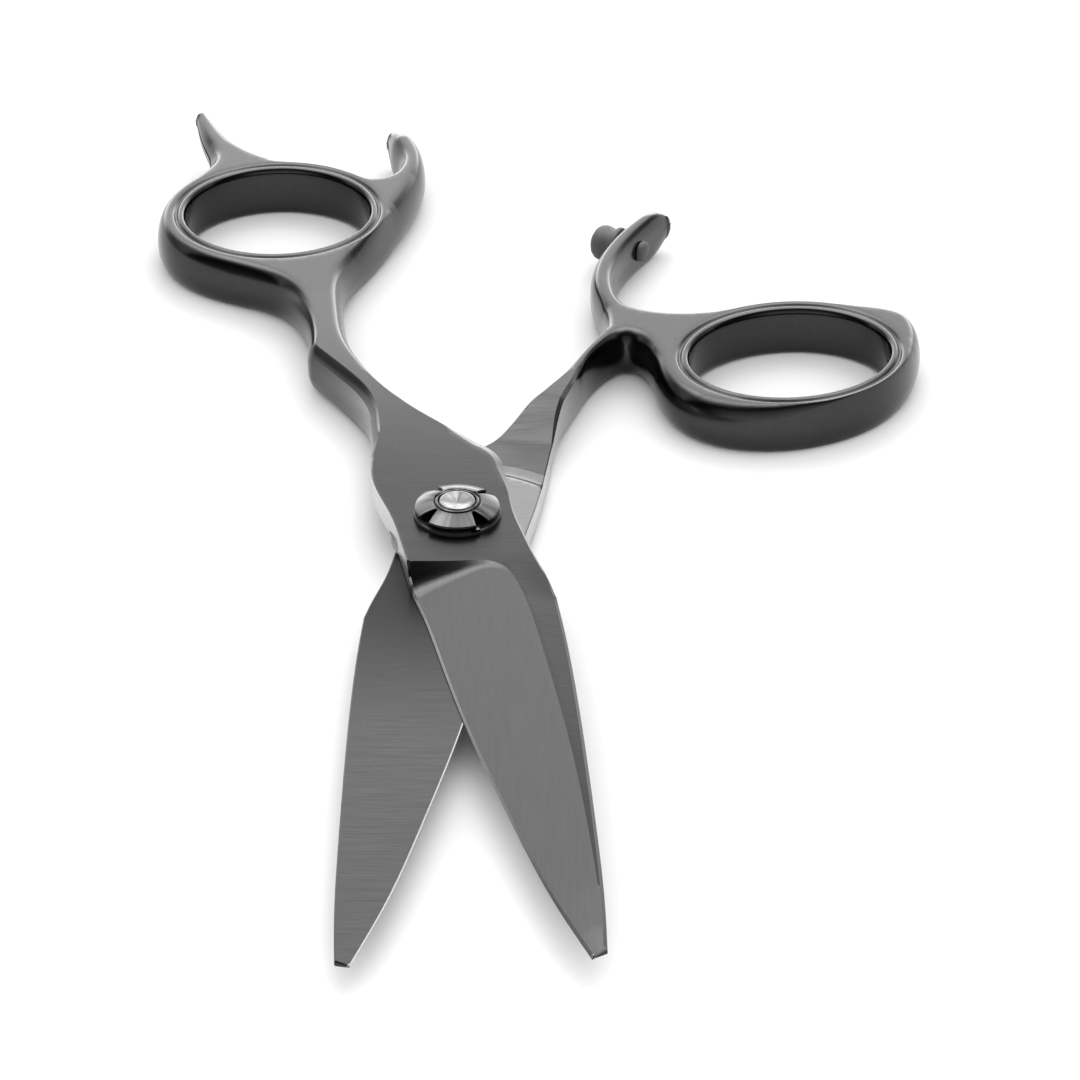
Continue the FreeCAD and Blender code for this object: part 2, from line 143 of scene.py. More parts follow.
def spline(points, step):
    """Points on the natural cubic spline through the given points, by chord length."""
    p = np.array(points, float)
    at = np.concatenate([[0], np.cumsum(np.hypot(*np.diff(p, axis=0).T))])
    span = np.diff(at)
    slope = np.diff(p, axis=0) / span[:, None]
    system = np.eye(len(p))
    target = np.zeros_like(p)
    for i in range(1, len(p) - 1):
        system[i, i - 1:i + 2] = span[i - 1], 2 * (span[i - 1] + span[i]), span[i]
        target[i] = 6 * (slope[i] - slope[i - 1])
    bend = np.linalg.solve(system, target)
    t = np.linspace(0, at[-1], max(2, round(at[-1] / step) + 1))
    k = np.clip(np.searchsorted(at, t, "right") - 1, 0, len(p) - 2)
    left = ((t - at[k]) / span[k])[:, None]
    right = 1 - left
    size = (span[k] ** 2 / 6)[:, None]
    return (right * p[k] + left * p[k + 1]
            + size * ((right ** 3 - right) * bend[k] + (left ** 3 - left) * bend[k + 1]))


def outline(runs):
    """One closed outline from its runs."""
    pieces = []
    for run in runs:
        if len(run) == 2:
            pieces.append(line(*run, STEP)[:-1])
        elif len(run) == 3:
            pieces.append(arc(*run, FINE_STEP)[:-1])
        else:
            pieces.append(spline(run, STEP)[:-1])
    return np.vstack(pieces)


def oval(centre, wide, high, tilt, step=STEP):
    """A closed oval, clockwise, so that the material is on its left as on an outline."""
    count = round(math.pi * (wide + high) / step)
    around = -np.linspace(0, 2 * math.pi, count, endpoint=False)
    flat = (wide * np.cos(around) + 1j * high * np.sin(around)) * np.exp(1j * math.radians(tilt))
    return np.column_stack([flat.real + centre[0], flat.imag + centre[1]])


def smooth(value, low, high):
    """0 below low, 1 above high, and a soft step between."""
    t = np.clip((value - low) / (high - low), 0, 1)
    return t * t * (3 - 2 * t)


def away_from(points, targets):
    """Distance from each point to the nearest of the targets."""
    found = np.empty(len(points))
    for start in range(0, len(points), 2000):
        part = points[start:start + 2000]
        gap = part[:, None, :] - targets[None, :, :]
        found[start:start + 2000] = np.sqrt((gap ** 2).sum(2).min(1))
    return found


def inside(points, loop):
    """Which points lie inside the closed loop."""
    x, y = points[:, 0][:, None], points[:, 1][:, None]
    x0, y0 = loop[:, 0][None], loop[:, 1][None]
    x1, y1 = np.roll(loop[:, 0], -1)[None], np.roll(loop[:, 1], -1)[None]
    rising = (y0 > y) != (y1 > y)
    with np.errstate(divide="ignore", invalid="ignore"):
        crosses = rising & (x < (x1 - x0) * (y - y0) / (y1 - y0) + x0)
    return crosses.sum(1) % 2 == 1


def new_piece(name, mesh):
    """An object of the scene from a finished bmesh."""
    data = bpy.data.meshes.new(name)
    mesh.to_mesh(data)
    mesh.free()
    piece = bpy.data.objects.new(name, data)
    bpy.context.scene.collection.objects.link(piece)
    return piece


# ---------------------------------------------------------------- slabs
# A slab is a plate with a plan outline and holes, a height for every point of its top and
# of its bottom, and edges that are rounded or bevelled by an amount that varies on the way.
def normals_of(loop):
    """Unit normals of a closed loop, towards the material."""
    before = loop - np.roll(loop, 1, axis=0)
    after = np.roll(loop, -1, axis=0) - loop
    before /= np.hypot(*before.T)[:, None]
    after /= np.hypot(*after.T)[:, None]
    along = before + after
    along /= np.hypot(*along.T)[:, None]
    return np.column_stack([-along[:, 1], along[:, 0]])


def room_at(loop, normals, everything):
    """Radius of the largest circle that touches the loop at each point and fits inside."""
    room = np.empty(len(loop))
    for i in range(len(loop)):
        gap = everything - loop[i]
        ahead = gap @ normals[i]
        ok = ahead > 1e-6
        room[i] = ((gap[ok] ** 2).sum(1) / (2 * ahead[ok])).min()
    return room


def eased(values, loop, slope=0.6):
    """Values lowered until they change by at most slope per length along the loop."""
    values = values.copy()
    spans = np.hypot(*(np.roll(loop, -1, axis=0) - loop).T)
    for _ in range(2):
        for i in range(len(values)):
            values[i] = min(values[i], values[i - 1] + slope * spans[i - 1])
        for i in range(len(values) - 1, -1, -1):
            values[i - 1] = min(values[i - 1], values[i] + slope * spans[i - 1])
    return values


def edge_rows(loop, normals, room, rule, height, wall, side, beyond):
    """Rows of points from the wall up to the flat, for one side of the slab (+1 top, -1 bottom).
    rule gives, for the loop's points, the inset, the drop and how far the edge is a bevel.
    beyond gives the distances from the loop of further rows on the flat."""
    inset, drop, bevel = rule(loop)
    inset = eased(np.minimum(inset, ROOM_USED * room), loop)
    drop = np.where(bevel > 0.9, drop, np.minimum(drop, WALL_USED * wall))
    rows = []
    for k in range(RINGS + 1):
        turn = 0.5 * math.pi * k / RINGS
        out = (1 - bevel) * (1 - math.cos(turn)) + bevel * k / RINGS
        down = (1 - bevel) * (1 - math.sin(turn)) + bevel * (1 - k / RINGS)
        plan = loop + normals * (inset * out)[:, None]
        rows.append(np.column_stack([plan, height(plan) - side * drop * down]))
    for distance in beyond:
        plan = loop + normals * distance
        rows.append(np.column_stack([plan, height(plan)]))
    return rows


def fill_points(loops, spacing, extra):
    """Points of a hexagonal grid inside the loops, and the extra points, clear of the loops."""
    low, high = loops[0].min(0), loops[0].max(0)
    found = [np.array(extra, float).reshape(-1, 2)]
    rows = np.arange(low[1], high[1], spacing * 0.866)
    for number, y in enumerate(rows):
        xs = np.arange(low[0] + (number % 2) * spacing / 2, high[0], spacing)
        found.append(np.column_stack([xs, np.full(len(xs), y)]))
    points = np.vstack(found)
    on_grid = np.arange(len(points)) >= len(extra)
    keep = inside(points, loops[0])
    for hole in loops[1:]:
        keep &= ~inside(points, hole)
    points, on_grid = points[keep], on_grid[keep]
    clear = away_from(points, np.vstack(loops)) > np.where(on_grid, 0.6 * spacing, 0.04)
    points, on_grid = points[clear], on_grid[clear]
    if len(extra):
        near = away_from(points, np.array(extra, float))
        points = points[~on_grid | (near > 0.45 * spacing)]
    return points


def fill_faces(loops, spacing, lines, extra):
    """Triangles between the loops: the points added inside, and faces that number the
    loops' points first, in order, and the added points after them."""
    border = np.vstack(loops)
    line_points = np.vstack([np.zeros((0, 2))] + list(lines))
    spread = np.vstack([line_points, np.array(extra, float).reshape(-1, 2)])
    added = fill_points(loops, spacing, spread)
    edges = []
    first = 0
    for loop in loops:
        edges += [(first + i, first + (i + 1) % len(loop)) for i in range(len(loop))]
        first += len(loop)
    everything = np.vstack([border, added])
    for one in lines:
        nearest = [int(np.argmin(((everything - p) ** 2).sum(1))) for p in one]
        kept = [((everything[n] - p) ** 2).sum() < 1e-8 for n, p in zip(nearest, one)]
        for i in range(len(one) - 1):
            if kept[i] and kept[i + 1] and nearest[i] != nearest[i + 1]:
                edges.append((nearest[i], nearest[i + 1]))
    coords = [Vector(p) for p in everything]
    made, _, faces, origin, _, _ = geometry.delaunay_2d_cdt(coords, edges, [], 0, 1e-7, True)
    made = np.array([tuple(v) for v in made])
    number = {}
    new_points = []
    for index, sources in enumerate(origin):
        if sources:
            number[index] = min(sources)
        else:
            number[index] = len(everything) + len(new_points)
            new_points.append(made[index])
    faces = np.array([f for f in faces if len(f) == 3])
    middle = made[faces].mean(1)
    keep = inside(middle, loops[0])
    for hole in loops[1:]:
        keep &= ~inside(middle, hole)
    faces = [[number[i] for i in f] for f in faces[keep]]
    inner = np.vstack([added] + [np.array(new_points).reshape(-1, 2)])
    return inner, [f for f in faces if len(set(f)) == 3]


def slab(name, loops, top, bottom, top_rule, bottom_rule, spacing=0.5, rim=None,
         top_lines=(), top_extra=(), bottom_lines=(), bottom_extra=()):
    """The mesh object of a slab, in millimetres, in its own frame. rim is the number of the
    loop that has a rolled rim on top."""
    everything = np.vstack(loops)
    mesh = bmesh.new()
    sides = []
    for side, height, rule, lines, extra in (
            (1, top, top_rule, top_lines, top_extra),
            (-1, bottom, bottom_rule, bottom_lines, bottom_extra)):
        made_rows = []
        for number, loop in enumerate(loops):
            normals = normals_of(loop)
            room = room_at(loop, normals, everything)
            wall = top(loop) - bottom(loop)
            beyond = RIM_ROWS if side > 0 and number == rim else []
            if side > 0 and rim not in (None, number):
                spare = away_from(loop, loops[rim]) - RIM_ROWS[-1] - RIM_CLEAR
                room = np.minimum(room, spare / ROOM_USED)
            rows = edge_rows(loop, normals, room, rule, height, wall, side, beyond)
            made_rows.append([[mesh.verts.new(p) for p in row] for row in rows])
            for lower, upper in zip(made_rows[-1], made_rows[-1][1:]):
                count = len(lower)
                for i in range(count):
                    j = (i + 1) % count
                    mesh.faces.new((lower[i], lower[j], upper[j], upper[i])[::side])
        flats = [np.array([v.co.xy for v in rows[-1]]) for rows in made_rows]
        inner, faces = fill_faces(flats, spacing, lines, extra)
        heights = height(inner)
        verts = [v for rows in made_rows for v in rows[-1]]
        verts += [mesh.verts.new((*p, z)) for p, z in zip(inner, heights)]
        for face in faces:
            mesh.faces.new([verts[i] for i in face[::side]])
        sides.append(made_rows)
    for upper_rows, lower_rows in zip(*sides):
        upper, lower = upper_rows[0], lower_rows[0]
        for i in range(len(upper)):
            j = (i + 1) % len(upper)
            mesh.faces.new((lower[i], lower[j], upper[j], upper[i]))
    return new_piece(name, mesh)


def settle(piece, turn=0.0, sharp=20.0):
    """Turns a piece to its place at rest, scales it to metres and sets its shading."""
    piece.data.transform(Matrix.Scale(MM, 4) @ Matrix.Rotation(math.radians(turn), 4, "Z"))
    piece.data.polygons.foreach_set("use_smooth", [True] * len(piece.data.polygons))
    piece.data.set_sharp_from_angle(angle=math.radians(sharp))
    return piece


def lathe(name, profile, segments=72):
    """A piece turned about Z from its (radius, height) profile, closed at the axis."""
    mesh = bmesh.new()
    rows = []
    angles = [2 * math.pi * i / segments for i in range(segments)]
    for radius, z in profile:
        if radius < 1e-6:
            rows.append([mesh.verts.new((0, 0, z))])
            continue
        ring = [(radius * math.cos(a), radius * math.sin(a), z) for a in angles]
        rows.append([mesh.verts.new(p) for p in ring])
    for lower, upper in zip(rows, rows[1:]):
        for i in range(segments):
            j = (i + 1) % segments
            corners = [lower[i % len(lower)], lower[j % len(lower)],
                       upper[j % len(upper)], upper[i % len(upper)]]
            face = list(dict.fromkeys(corners))
            if len(face) > 2:
                mesh.faces.new(face)
    bmesh.ops.recalc_face_normals(mesh, faces=mesh.faces)
    return new_piece(name, mesh)


# ---------------------------------------------------------------- thickness of the blade end
def curve_value(at, table):
    """The table's value at each place, straight from one (place, value) pair to the next."""
    places = [p for p, _ in table]
    values = [v for _, v in table]
    return np.interp(at, places, values)


# distance from the pivot, thickness at the crest between the ground face and the band
CREST = [(0.0, PLATE), (8.0, PLATE), (14.8, 2.3), (30.0, 2.02), (45.0, 1.65), (57.0, 1.2),
         (62.0, 0.88), (65.0, 0.5)]
# distance from the pivot, thickness where the ground face meets the hone
FACE_EDGE = [(0.0, 0.13), (45.0, 0.13), (57.0, 0.17), (65.0, 0.25)]
HONE_WIDTH = 0.2             # width of the honed strip along the cutting edge
HONE_LEFT = 0.02             # thickness left at the cutting edge
HONE_BREAK = 0.012           # drop of the edge on the inner side
SPINE_BEVEL = (0.3, 0.28)    # inset and drop along the spine
BAND_FALL = 0.16             # how much the band drops per mm towards the spine
FACE_HOLLOW = 1.65           # how the ground face curves from the edge up to the crest
FACE_LEFT = 0.1              # share of that curve that is cut off at the crest
FULL_WIDTH = 3.55            # x at which the face ends for its curve, as far as FULL_TO
FULL_TO = 16.0
PLUNGE_FILLET = 0.6          # share of the plunge's length that is its hollow foot
PLUNGE_SCALE = PLUNGE_FILLET ** 3 + 3 * PLUNGE_FILLET ** 2 * (1 - PLUNGE_FILLET)
edge_curve = spline(EDGE, STEP)
shoulder_curve = spline(SHOULDER, FINE_STEP)


def thickness(points, mirror):
    """Thickness of a half from its inner face outwards, over the plate and the blade."""
    x, y = mirror * points[:, 0], points[:, 1]
    down = -y
    crest = curve_value(down, CREST)
    edge_x = np.interp(down, -edge_curve[:, 1], edge_curve[:, 0])
    crease_x = np.interp(down, -shoulder_curve[:, 1], shoulder_curve[:, 0])
    face_end = np.where(down < FULL_TO, FULL_WIDTH, crease_x)
    across = np.clip((x - edge_x) / (face_end - edge_x), 0, 1)
    reach = 1 - (1 - (1 - FACE_LEFT) * across) ** FACE_HOLLOW
    face_edge = curve_value(down, FACE_EDGE)
    face = face_edge + (crest - face_edge) * reach / (1 - FACE_LEFT ** FACE_HOLLOW)
    off = away_from(np.column_stack([x, y]), shoulder_curve)
    ground = (down > -SHOULDER[0][1]) & (x < crease_x)
    drop = np.clip(crest - face, 0.0, None)
    near = np.clip(1 - off / (1.3 * drop + 0.5), 0, 1)
    fillet = near ** 3 / PLUNGE_SCALE
    wall = (PLUNGE_FILLET ** 3 + 3 * PLUNGE_FILLET ** 2 * (near - PLUNGE_FILLET)) / PLUNGE_SCALE
    plunge = drop * np.where(near < PLUNGE_FILLET, fillet, wall) * (1 - smooth(down, 12.0, 15.0))
    band = crest - BAND_FALL * smooth(down, 9.0, 16.0) * np.clip(x - crease_x, 0, None)
    return np.where(ground, face + plunge, band)


def hone_weight(points, mirror):
    """1 along the cutting edge, 0 elsewhere."""
    x, y = mirror * points[:, 0], points[:, 1]
    return ((y < -8.3) & (x < -0.6)).astype(float)


def spine_weight(points, mirror):
    """1 along the blade's spine and round its tip, 0 elsewhere."""
    x, y = mirror * points[:, 0], points[:, 1]
    return np.where((x > 0) & (y > -64.45), smooth(-y, 8.0, 14.0), 0.0)


def mixed(inset, drop, weight, edge):
    """The inset and the drop, turned by the weight into those of the given edge."""
    return inset * (1 - weight) + edge[0] * weight, drop * (1 - weight) + edge[1] * weight


def crisp_where(soft):
    """1 where an edge is not soft yet, 0 where it is rounded."""
    return 1 - smooth(soft, 0.0, 0.35)


def outer_rule(points, mirror, inset, drop, bevel):
    """Edge of the outer side: the given one on the handle, hone and spine bevel on the blade."""
    hone = hone_weight(points, mirror)
    spine = spine_weight(points, mirror)
    inset = inset * (1 - hone) * (1 - spine) + HONE_WIDTH * hone + SPINE_BEVEL[0] * spine
    drop = drop * (1 - hone) * (1 - spine) + SPINE_BEVEL[1] * spine
    drop = drop + hone * (thickness(points, mirror) - HONE_LEFT)
    bevel = np.maximum(bevel, np.maximum(hone, spine))
    return inset, drop, bevel


# ---------------------------------------------------------------- rolled rims of the rings
def rim_groove(points, hole):
    """Depth of the soft groove that sets a rolled rim off from the top of a ring."""
    off = away_from(points, oval(*hole))
    return BEAD_DEPTH * np.exp(-((off - BEAD_GROOVE) / BEAD_WIDTH) ** 2)


# ---------------------------------------------------------------- the upper half
REST_ROOT = 3.8              # height of the finger rest at its root, and at its tip
REST_TIP = 1.9
SEAT_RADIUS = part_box("ride_washer")[1].x / MM + 0.05
SEAT_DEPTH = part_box("ride_washer")[1].z / MM - FINGER_INNER
SEAT_WALL = 0.02             # width of the seat's steep wall
SEAT_MIDDLE = SEAT_RADIUS - SEAT_WALL / 2
BUSH_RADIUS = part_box("pivot_bush")[1].x / MM
STUD_RADIUS = 2.5
HOOK_TIP = (7.4, 83.4)       # end of the curled piece beside the finger ring
HOOK_THIN = 1.3              # how much it thins there from above and from below
HOOK_REACH = 4.0             # and how far from its end that begins


def hook_taper(points):
    x, y = points.T
    tip = np.hypot(x - HOOK_TIP[0], y - HOOK_TIP[1])
    return (x > 3) * HOOK_THIN * (1 - smooth(tip, 0.0, HOOK_REACH))


def finger_top(points):
    blade = FINGER_INNER + thickness(points, 1)
    handle = FINGER_TOP - hook_taper(points)
    handle = handle - rim_groove(points, FINGER_HOLE)
    return np.where(points[:, 1] < 0, blade, handle)


def finger_bottom(points):
    x, y = points.T
    low = FINGER_INNER * (1 - smooth(y, 17.8, 26.2))
    rest = np.interp(y, (78.0, 81.5, 91.0), (0, FINGER_TOP - REST_ROOT, FINGER_TOP - REST_TIP))
    low = low + rest * smooth(-x, 6.5, 8.5)
    low = low + hook_taper(points)
    seat = np.hypot(x, y) < SEAT_MIDDLE
    return np.where(seat, FINGER_INNER + SEAT_DEPTH, low)


def on_hole(points, hole):
    """1 on the points of a hole's rim."""
    (cx, cy), wide, high, tilt = hole
    back = (points[:, 0] - cx + 1j * (points[:, 1] - cy)) * np.exp(-1j * math.radians(tilt))
    return (np.abs(np.hypot(back.real / wide, back.imag / high) - 1) < 0.02).astype(float)


def finger_top_rule(points):
    x, y = points.T
    hole = on_hole(points, FINGER_HOLE)
    middle = np.interp(y, (15.0, 22.0, 29.0, 36.5), (-2.2, -3.4, -5.2, -6.6))
    left = x < middle
    soft = np.where(left, 0.35 * smooth(y, 35.0, 48.0), smooth(y, 22.0, 40.0))
    corner = (x > 0) * (1 - smooth(np.hypot(x - 5.0, y - 10.5), 2.0, 8.0))
    flank = np.where(left, smooth(y, 11.0, 18.0), 0.0)
    inset = 0.16 + 1.3 * soft + 0.7 * flank + 0.5 * corner
    drop = 0.08 + 2.9 * soft + 1.9 * flank + 0.1 * corner
    inset, drop = mixed(inset, drop, hole, HOLE_TOP)
    bore = (np.hypot(x, y) < 4).astype(float)
    inset, drop = mixed(inset, drop, bore, (0.05, 0.05))
    crisp = 1 - np.where(left, smooth(y, 33.5, 41.0), smooth(y, 22.0, 32.0))
    bevel = (1 - 0.55 * flank) * crisp * (1 - hole)
    return outer_rule(points, 1, inset, drop, bevel)


def finger_bottom_rule(points):
    y = points[:, 1]
    hole = on_hole(points, FINGER_HOLE)
    soft = smooth(y, 20.0, 27.0)
    inset = 0.06 + soft * 1.5
    drop = 0.06 + soft * 2.3
    inset, drop = mixed(inset, drop, hole, HOLE_UNDER)
    edge = hone_weight(points, 1)
    inset, drop = mixed(inset, drop, edge, (HONE_WIDTH, HONE_BREAK))
    return inset, drop, crisp_where(soft)


ROW_OFFSETS = (0.02, 0.06, 0.13, 0.24, 0.4, 0.6, 0.85, 1.15, 1.5, 1.9)


def shoulder_rows(mirror):
    """Rows of points on the ground face that follow the shoulder, close together near it."""
    curve = shoulder_curve[shoulder_curve[:, 1] > -12.5]
    along = np.gradient(curve, axis=0)
    along /= np.hypot(*along.T)[:, None]
    off = np.column_stack([along[:, 1], -along[:, 0]])
    found = np.vstack([curve + off * distance for distance in ROW_OFFSETS])
    found[:, 0] *= mirror
    return found


def blade_lines(mirror):
    """The shoulder as a line that the faces follow, without its ends on the outline."""
    line_points = shoulder_curve[1:-4].copy()
    line_points[:, 0] *= mirror
    return [line_points]


def make_finger_half():
    loops = [outline(FINGER_RUNS), oval(*FINGER_HOLE), oval((0, 0), BUSH_RADIUS, BUSH_RADIUS, 0)]
    seat = [oval((0, 0), r, r, 0) for r in (SEAT_RADIUS, SEAT_RADIUS - SEAT_WALL)]
    return slab(
        "upper_half", loops, finger_top, finger_bottom, finger_top_rule, finger_bottom_rule,
        rim=1, top_lines=blade_lines(1), top_extra=shoulder_rows(1),
        bottom_lines=[np.vstack([s, s[:1]]) for s in seat])


# ---------------------------------------------------------------- the lower half
POLISH_RADIUS = 12.3         # the polished seat round the pivot
POLISH_RISE = 1.5            # width of the slope round it
POLISH_DEPTH = 0.1
SEAT_ARC = (60, 86)          # directions between which the seat's rim shows, degrees
LINE_DEPTH = 0.12            # of the fine turned line along the seat's rim
LINE_WIDTH = 0.12            # about half its width
RAMP_START = 17.6            # from here the handle thickens, up to RAMP_END
RAMP_END = 23.6
SPUR_TIP = (12.7, 66.2)      # end of the spur beside the thumb ring
SPUR_THIN = 2.5              # how much it thins there from above and from below
SPUR_REACH = 4.2             # and how far from its end that begins


def spur_taper(points):
    x, y = points.T
    along = np.clip(np.hypot(x - SPUR_TIP[0], y - SPUR_TIP[1]) / SPUR_REACH, 0, 1)
    return (x < 16) * SPUR_THIN * (1 - np.sqrt(1 - (1 - along) ** 2))


def thumb_top(points):
    x, y = points.T
    far = np.hypot(x, y)
    sunk = POLISH_DEPTH * (1 - np.clip((far - POLISH_RADIUS) / POLISH_RISE, 0, 1)) * (y > 0)
    low = THUMB_INNER - sunk
    ramp = smooth(y, RAMP_START, RAMP_END)
    handle = low + (THUMB_TOP - THUMB_INNER) * ramp - spur_taper(points)
    turned = np.exp(-((far - POLISH_RADIUS) / LINE_WIDTH) ** 2)
    line_groove = LINE_DEPTH * turned * (y > 0) * (x > 0)
    return handle - line_groove - rim_groove(points, THUMB_HOLE)


def thumb_bottom(points):
    y = points[:, 1]
    blade = THUMB_INNER - thickness(points, -1)
    lift = THUMB_INNER - PLATE
    handle = lift * (1 - smooth(y, 13.4, 15.6)) + spur_taper(points)
    return np.where(y < 0, blade, handle)


def thumb_top_rule(points):
    x, y = points.T
    hole = on_hole(points, THUMB_HOLE)
    edge = hone_weight(points, -1)
    spur = (x < 14) * smooth(y, 44.0, 48.0)
    soft = np.maximum(smooth(y, 26.0, 37.0), smooth(x, 11.5, 15.0)) * (1 - 0.35 * spur)
    inset = 0.12 + smooth(y, 17.0, 22.0) * 0.25 + soft * 1.05
    drop = 0.12 + smooth(y, 17.0, 22.0) * 0.25 + soft * 2.6
    inset, drop = mixed(inset, drop, hole, HOLE_TOP)
    inset, drop = mixed(inset, drop, edge, (0.6 * HONE_WIDTH, HONE_BREAK))
    return inset, drop, crisp_where(soft) * (1 - hole)


def thumb_bottom_rule(points):
    y = points[:, 1]
    hole = on_hole(points, THUMB_HOLE)
    soft = smooth(y, 14.0, 24.0)
    inset = 0.12 + soft * 1.5
    drop = 0.12 + soft * 2.2
    inset, drop = mixed(inset, drop, hole, HOLE_UNDER)
    return outer_rule(points, -1, inset, drop, crisp_where(soft) * (1 - hole))


def arc_line(radius, start, end):
    """Points a degree apart on an arc round the pivot."""
    angles = np.radians(np.arange(start, end, 1.0))
    return np.column_stack([radius * np.cos(angles), radius * np.sin(angles)])


def make_thumb_half():
    loops = [outline(THUMB_RUNS), oval(*THUMB_HOLE), oval((0, 0), STUD_RADIUS, STUD_RADIUS, 0)]
    seat_rows = (-0.24, -0.12, 0.0, 0.12, 0.24, POLISH_RISE)
    rims = [arc_line(POLISH_RADIUS + off, *SEAT_ARC) for off in seat_rows]
    return slab(
        "lower_half", loops, thumb_top, thumb_bottom, thumb_top_rule, thumb_bottom_rule,
        rim=1, top_lines=rims, bottom_lines=blade_lines(-1), bottom_extra=shoulder_rows(-1))


# ---------------------------------------------------------------- pivot pieces and bumper
DIAL_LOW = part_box("tension_dial")[0].z / MM
DIAL_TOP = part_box("tension_dial")[1].z / MM
DIAL_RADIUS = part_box("tension_dial")[1].x / MM
DIAL_BORE = 1.78
DIAL_RIM = 0.35              # height of the rim
NOTCH_FIRST = 38.0           # direction of the first of the four notches, degrees
NOTCH_HALF = 10.5            # half the notch's opening at the rim, degrees
NOTCH_DEEP = 2.35            # distance of the notch's tip from the axis
NOTCH_BLUNT = 0.05           # half the angle that its blunt tip spans, radians
GROOVE_RADIUS = 2.12         # fine turned groove round the middle of the dial


def dial_outline():
    """Four arcs of the rim with a notch before each."""
    pieces = []
    for number in range(4):
        notch = math.radians(NOTCH_FIRST + 90 * number)
        opening = math.radians(NOTCH_HALF)
        nearest = [DIAL_RADIUS * np.array((math.cos(a), math.sin(a)))
                   for a in (notch - opening, notch + opening)]
        tips = [NOTCH_DEEP * np.array((math.cos(a), math.sin(a)))
                for a in (notch - NOTCH_BLUNT, notch + NOTCH_BLUNT)]
        pieces.append(line(nearest[0], tips[0], FINE_STEP)[:-1])
        pieces.append(line(tips[0], tips[1], FINE_STEP)[:-1])
        pieces.append(line(tips[1], nearest[1], FINE_STEP)[:-1])
        angles = np.linspace(notch + opening, notch + math.pi / 2 - opening, 40)[:-1]
        pieces.append(DIAL_RADIUS * np.column_stack([np.cos(angles), np.sin(angles)]))
    return np.vstack(pieces)


def dial_top(points):
    far = np.hypot(*points.T)
    out = np.clip((far - GROOVE_RADIUS) / (DIAL_RADIUS - GROOVE_RADIUS), 0, 1)
    height = DIAL_LOW + DIAL_RIM + (DIAL_TOP - DIAL_LOW - DIAL_RIM - 0.06) * (1 - out ** 1.7)
    collar = DIAL_TOP - 0.02 - 0.25 * (far - DIAL_BORE) ** 2
    groove = 0.16 * np.exp(-((far - GROOVE_RADIUS) / 0.1) ** 2)
    return np.where(far < GROOVE_RADIUS, collar, height) - groove


def dial_top_rule(points):
    one = np.ones(len(points))
    return 0.1 * one, 0.12 * one, 0 * one


def dial_bottom_rule(points):
    one = np.ones(len(points))
    return 0.04 * one, 0.04 * one, one


def circle_line(radius):
    whole = oval((0, 0), radius, radius, 0, FINE_STEP)
    return np.vstack([whole, whole[:1]])


def make_dial():
    grooves = [GROOVE_RADIUS + d for d in (-0.18, -0.12, -0.06, 0.0, 0.06, 0.12, 0.18)]
    return slab(
        "dial", [dial_outline(), oval((0, 0), DIAL_BORE, DIAL_BORE, 0, FINE_STEP)],
        dial_top, lambda points: np.full(len(points), DIAL_LOW),
        dial_top_rule, dial_bottom_rule, spacing=0.22,
        top_lines=[circle_line(r) for r in grooves])


def make_stud():
    """The stud: flat head, shank, and a dished, turned end in the middle of the dial."""
    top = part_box("pivot_stud")[1].z / MM
    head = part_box("pivot_stud")[1].x / MM
    dish = [(0.0, top - 0.3), (0.2, top - 0.29), (0.26, top - 0.25), (0.7, top - 0.2),
            (1.1, top - 0.1), (1.35, top - 0.02), (1.5, top), (1.62, top - 0.03),
            (1.7, top - 0.12), (1.72, top - 0.3), (1.72, DIAL_LOW),
            (STUD_RADIUS, DIAL_LOW)]
    under = [(STUD_RADIUS, 0.5), (head - 0.02, 0.5), (head, 0.48), (head, 0.2), (head - 0.08, 0.08),
             (head - 0.25, 0.0), (1.5, 0.0), (1.4, 0.06), (1.3, 0.25), (0.0, 0.3)]
    return lathe("stud", dish + under, 96)


BUMPER_AXIS = Vector((-0.94, 0.342, 0)).normalized()
BUMPER_SEAT = Vector((8.75, 60.2, THUMB_TOP / 2 + 0.2))


def make_bumper():
    """Rubber stop: a domed head with a pinched neck, and the barb that holds it behind."""
    profile = [(0.0, 3.2), (0.5, 3.17), (1.0, 3.05), (1.45, 2.8), (1.75, 2.45), (1.88, 2.0),
               (1.84, 1.5), (1.7, 1.1), (1.72, 0.8), (1.95, 0.5), (2.0, 0.3), (1.95, 0.1),
               (1.8, 0.0), (0.95, 0.0), (0.95, -2.3), (1.1, -2.4), (1.05, -2.75), (0.7, -3.0),
               (0.0, -3.05)]
    piece = lathe("bumper_rubber", profile, 48)
    lay = BUMPER_AXIS.to_track_quat("Z", "Y").to_matrix().to_4x4()
    piece.data.transform(Matrix.Translation(BUMPER_SEAT) @ lay)
    return piece


# ---------------------------------------------------------------- materials
def new_material(name):
    material = bpy.data.materials.new(name)
    material.use_nodes = True
    return material, material.node_tree.nodes, material.node_tree.links


def streaks(nodes, links, stretch, scale, detail=4.0):
    """Noise drawn out into streaks by the stretch along each axis."""
    where = nodes.new("ShaderNodeTexCoord")
    mapping = nodes.new("ShaderNodeMapping")
    mapping.inputs["Scale"].default_value = stretch
    noise = nodes.new("ShaderNodeTexNoise")
    noise.inputs["Scale"].default_value = scale
    noise.inputs["Detail"].default_value = detail
    links.new(where.outputs["Object"], mapping.inputs["Vector"])
    links.new(mapping.outputs["Vector"], noise.inputs["Vector"])
    return noise.outputs["Fac"]


def remap(nodes, links, source, low, high):
    node = nodes.new("ShaderNodeMapRange")
    node.inputs["From Min"].default_value = 0.3
    node.inputs["From Max"].default_value = 0.7
    node.inputs["To Min"].default_value = low
    node.inputs["To Max"].default_value = high
    links.new(source, node.inputs["Value"])
    return node.outputs["Result"]


